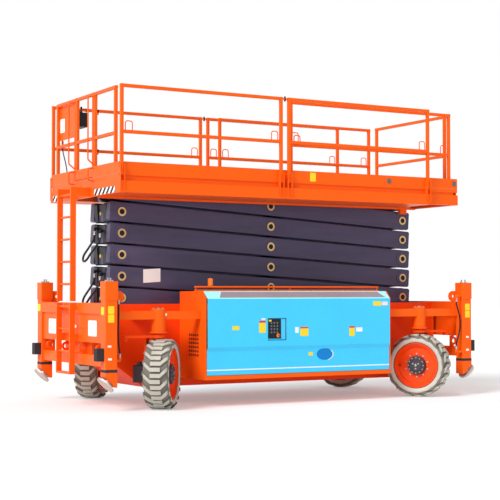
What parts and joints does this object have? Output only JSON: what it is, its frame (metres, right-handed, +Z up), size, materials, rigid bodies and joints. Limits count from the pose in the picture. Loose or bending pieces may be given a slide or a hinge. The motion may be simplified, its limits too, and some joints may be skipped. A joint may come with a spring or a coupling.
{
  "type": "scissor lift",
  "caption": "Self-propelled rough-terrain scissor lift with a guard-railed sliding platform, steered wheels, side cabinets and levelling legs.",
  "frame": {"origin": "on the ground, midway between the four outrigger legs", "axes": "+X towards the platform's extending end, +Y to the machine's left, +Z up"},
  "size_m": [6.17, 3.0216, 4.2614],
  "materials": {
    "chassis_paint": "semi-gloss",
    "scissor_paint": "satin",
    "wheel_paint": "gloss",
    "cover_paint": "gloss",
    "tyre_rubber": "matt",
    "bumper_rubber": "matt",
    "black_plastic": "matt",
    "equipment_grey": "satin",
    "chrome": "polished",
    "beacon_amber": "gloss"
  },
  "bodies": {
    "chassis": {"main_frame": "chassis_paint", "front_end_frame": "chassis_paint", "rear_end_frame": "chassis_paint", "right_equipment": "equipment_grey", "left_equipment": "equipment_grey", "control_panel": "black_plastic", "beacon": "beacon_amber", "low_ladder": "chassis_paint", "bumpers_and_wipers": "bumper_rubber", "cabinet_tray_left": "chassis_paint", "cabinet_tray_right": "chassis_paint", "leg_hose_front_right": "bumper_rubber", "leg_hose_rear_right": "bumper_rubber"},
    "platform": {"platform_deck": "chassis_paint", "toe_boards": "chassis_paint", "high_ladder": "chassis_paint", "console": "black_plastic", "console_cable": "bumper_rubber", "side_rail_left": "chassis_paint", "side_rail_right": "chassis_paint", "rear_rails": "chassis_paint"},
    "gate": {"gate": "chassis_paint"},
    "extension": {"extension_deck": "chassis_paint", "extension_rails": "chassis_paint"},
    "inner_arm_1": {"inner_arm_1": "scissor_paint"},
    "outer_arm_1": {"outer_arm_1": "scissor_paint"},
    "inner_arm_2": {"inner_arm_2": "scissor_paint"},
    "outer_arm_2": {"outer_arm_2": "scissor_paint"},
    "inner_arm_3": {"inner_arm_3": "scissor_paint", "arm_hose_3": "bumper_rubber"},
    "outer_arm_3": {"outer_arm_3": "scissor_paint"},
    "inner_arm_4": {"inner_arm_4": "scissor_paint"},
    "outer_arm_4": {"outer_arm_4": "scissor_paint"},
    "inner_arm_5": {"inner_arm_5": "scissor_paint", "arm_hose_5": "bumper_rubber"},
    "outer_arm_5": {"outer_arm_5": "scissor_paint"},
    "inner_arm_6": {"inner_arm_6": "scissor_paint"},
    "outer_arm_6": {"outer_arm_6": "scissor_paint"},
    "lift_cylinder_1": {"lift_cylinder_1": "scissor_paint"},
    "lift_rod_1": {"lift_rod_1": "chrome"},
    "lift_cylinder_2": {"lift_cylinder_2": "scissor_paint"},
    "lift_rod_2": {"lift_rod_2": "chrome"},
    "knuckle_front_left": {"knuckle_front_left": "chassis_paint"},
    "wheel_front_left": {"rim_front_left": "wheel_paint", "tyre_front_left": "tyre_rubber"},
    "leg_front_left": {"leg_front_left": "chassis_paint"},
    "knuckle_front_right": {"knuckle_front_right": "chassis_paint"},
    "wheel_front_right": {"rim_front_right": "wheel_paint", "tyre_front_right": "tyre_rubber"},
    "leg_front_right": {"leg_front_right": "chassis_paint"},
    "knuckle_rear_left": {"knuckle_rear_left": "chassis_paint"},
    "wheel_rear_left": {"rim_rear_left": "wheel_paint", "tyre_rear_left": "tyre_rubber"},
    "leg_rear_left": {"leg_rear_left": "chassis_paint"},
    "knuckle_rear_right": {"knuckle_rear_right": "chassis_paint"},
    "wheel_rear_right": {"rim_rear_right": "wheel_paint", "tyre_rear_right": "tyre_rubber"},
    "leg_rear_right": {"leg_rear_right": "chassis_paint"},
    "cover_left": {"cabinet_cover_left": "cover_paint"},
    "cover_right": {"cabinet_cover_right": "cover_paint"}
  },
  "joints": [
    {"name": "lift", "type": "hinge", "parent": "chassis", "child": "inner_arm_1", "pos_m": [-2.365, 0, 1.172], "axis": [0, -1, 0], "range_deg": [0, 57.5]},
    {"name": "scissor_centre_1", "type": "hinge", "parent": "inner_arm_1", "child": "outer_arm_1", "pos_m": [0, 0, 1.319], "axis": [0, 1, 0], "range_deg": [0, 115]},
    {"name": "scissor_end_1", "type": "hinge", "parent": "inner_arm_1", "child": "outer_arm_2", "pos_m": [2.365, 0, 1.466], "axis": [0, 1, 0], "range_deg": [0, 115]},
    {"name": "scissor_centre_2", "type": "hinge", "parent": "outer_arm_2", "child": "inner_arm_2", "pos_m": [0, 0, 1.613], "axis": [0, -1, 0], "range_deg": [0, 115]},
    {"name": "scissor_end_2", "type": "hinge", "parent": "outer_arm_2", "child": "inner_arm_3", "pos_m": [-2.365, 0, 1.76], "axis": [0, -1, 0], "range_deg": [0, 115]},
    {"name": "scissor_centre_3", "type": "hinge", "parent": "inner_arm_3", "child": "outer_arm_3", "pos_m": [0, 0, 1.907], "axis": [0, 1, 0], "range_deg": [0, 115]},
    {"name": "scissor_end_3", "type": "hinge", "parent": "inner_arm_3", "child": "outer_arm_4", "pos_m": [2.365, 0, 2.054], "axis": [0, 1, 0], "range_deg": [0, 115]},
    {"name": "scissor_centre_4", "type": "hinge", "parent": "outer_arm_4", "child": "inner_arm_4", "pos_m": [0, 0, 2.201], "axis": [0, -1, 0], "range_deg": [0, 115]},
    {"name": "scissor_end_4", "type": "hinge", "parent": "outer_arm_4", "child": "inner_arm_5", "pos_m": [-2.365, 0, 2.348], "axis": [0, -1, 0], "range_deg": [0, 115]},
    {"name": "scissor_centre_5", "type": "hinge", "parent": "inner_arm_5", "child": "outer_arm_5", "pos_m": [0, 0, 2.495], "axis": [0, 1, 0], "range_deg": [0, 115]},
    {"name": "scissor_end_5", "type": "hinge", "parent": "inner_arm_5", "child": "outer_arm_6", "pos_m": [2.365, 0, 2.642], "axis": [0, 1, 0], "range_deg": [0, 115]},
    {"name": "scissor_centre_6", "type": "hinge", "parent": "outer_arm_6", "child": "inner_arm_6", "pos_m": [0, 0, 2.789], "axis": [0, -1, 0], "range_deg": [0, 115]},
    {"name": "cylinder_swing_1", "type": "hinge", "parent": "inner_arm_2", "child": "lift_cylinder_1", "pos_m": [0.99807, 0, 1.67504], "axis": [0, 1, 0], "range_deg": [0, 120.65]},
    {"name": "cylinder_stroke_1", "type": "slide", "parent": "lift_cylinder_1", "child": "lift_rod_1", "axis": [-0.9964, 0, 0.0848], "range_m": [0, 0.58168]},
    {"name": "cylinder_swing_2", "type": "hinge", "parent": "inner_arm_4", "child": "lift_cylinder_2", "pos_m": [0.99807, 0, 2.26304], "axis": [0, 1, 0], "range_deg": [0, 120.65]},
    {"name": "cylinder_stroke_2", "type": "slide", "parent": "lift_cylinder_2", "child": "lift_rod_2", "axis": [-0.9964, 0, 0.0848], "range_m": [0, 0.58168]},
    {"name": "platform_level", "type": "hinge", "parent": "outer_arm_6", "child": "platform", "pos_m": [-2.365, 0, 2.936], "axis": [0, -1, 0], "range_deg": [0, 57.5]},
    {"name": "extension_slide", "type": "slide", "parent": "platform", "child": "extension", "axis": [1, 0, 0], "range_m": [0, 1.2]},
    {"name": "gate_hinge", "type": "hinge", "parent": "platform", "child": "gate", "pos_m": [-2.721, -0.32, 3.7], "axis": [0, 0, -1], "range_deg": [0, 85], "stiffness_Nm_per_rad": 20},
    {"name": "steer_front_left", "type": "hinge", "parent": "chassis", "child": "knuckle_front_left", "pos_m": [2.149, 1.038, 0.95], "axis": [0, 0, 1], "range_deg": [0, 104]},
    {"name": "wheel_spin_front_left", "type": "hinge", "parent": "knuckle_front_left", "child": "wheel_front_left", "pos_m": [2.1884, 1.06878, 0.462], "axis": [0.788, 0.6157, 0], "continuous": true},
    {"name": "steer_front_right", "type": "hinge", "parent": "chassis", "child": "knuckle_front_right", "pos_m": [2.149, -1.038, 0.95], "axis": [0, 0, 1], "range_deg": [0, 104]},
    {"name": "wheel_spin_front_right", "type": "hinge", "parent": "knuckle_front_right", "child": "wheel_front_right", "pos_m": [2.1096, -1.06878, 0.462], "axis": [0.788, 0.6157, 0], "continuous": true},
    {"name": "steer_rear_left", "type": "hinge", "parent": "chassis", "child": "knuckle_rear_left", "pos_m": [-2.149, 1.038, 0.95], "axis": [0, 0, 1], "range_deg": [-104, 0]},
    {"name": "wheel_spin_rear_left", "type": "hinge", "parent": "knuckle_rear_left", "child": "wheel_rear_left", "pos_m": [-2.1884, 1.06878, 0.462], "axis": [-0.788, 0.6157, 0], "continuous": true},
    {"name": "steer_rear_right", "type": "hinge", "parent": "chassis", "child": "knuckle_rear_right", "pos_m": [-2.149, -1.038, 0.95], "axis": [0, 0, 1], "range_deg": [-104, 0]},
    {"name": "wheel_spin_rear_right", "type": "hinge", "parent": "knuckle_rear_right", "child": "wheel_rear_right", "pos_m": [-2.1096, -1.06878, 0.462], "axis": [-0.788, 0.6157, 0], "continuous": true},
    {"name": "outrigger_front_left", "type": "slide", "parent": "chassis", "child": "leg_front_left", "axis": [0, 0, -1], "range_m": [0, 0.6]},
    {"name": "outrigger_front_right", "type": "slide", "parent": "chassis", "child": "leg_front_right", "axis": [0, 0, -1], "range_m": [0, 0.6]},
    {"name": "outrigger_rear_left", "type": "slide", "parent": "chassis", "child": "leg_rear_left", "axis": [0, 0, -1], "range_m": [0, 0.6]},
    {"name": "outrigger_rear_right", "type": "slide", "parent": "chassis", "child": "leg_rear_right", "axis": [0, 0, -1], "range_m": [0, 0.6]},
    {"name": "cover_hinge_left", "type": "hinge", "parent": "chassis", "child": "cover_left", "pos_m": [0, 0.945, 1.541], "axis": [1, 0, 0], "range_deg": [0, 75]},
    {"name": "cover_hinge_right", "type": "hinge", "parent": "chassis", "child": "cover_right", "pos_m": [0, -0.945, 1.541], "axis": [-1, 0, 0], "range_deg": [0, 75]}
  ],
  "couplings": [
    {"joint": "scissor_centre_1", "follows": "lift", "ratio": 2},
    {"joint": "scissor_end_1", "follows": "lift", "ratio": 2},
    {"joint": "scissor_centre_2", "follows": "lift", "ratio": 2},
    {"joint": "scissor_end_2", "follows": "lift", "ratio": 2},
    {"joint": "scissor_centre_3", "follows": "lift", "ratio": 2},
    {"joint": "scissor_end_3", "follows": "lift", "ratio": 2},
    {"joint": "scissor_centre_4", "follows": "lift", "ratio": 2},
    {"joint": "scissor_end_4", "follows": "lift", "ratio": 2},
    {"joint": "scissor_centre_5", "follows": "lift", "ratio": 2},
    {"joint": "scissor_end_5", "follows": "lift", "ratio": 2},
    {"joint": "scissor_centre_6", "follows": "lift", "ratio": 2},
    {"joint": "cylinder_swing_1", "follows": "lift", "ratio": 2.0982},
    {"joint": "cylinder_stroke_1", "follows": "lift", "m_per_rad": 0.57961},
    {"joint": "cylinder_swing_2", "follows": "lift", "ratio": 2.0982},
    {"joint": "cylinder_stroke_2", "follows": "lift", "m_per_rad": 0.57961},
    {"joint": "platform_level", "follows": "lift", "ratio": 1},
    {"joint": "steer_front_left", "follows": "steer_front_right", "ratio": 1},
    {"joint": "steer_rear_left", "follows": "steer_rear_right", "ratio": 1}
  ]
}
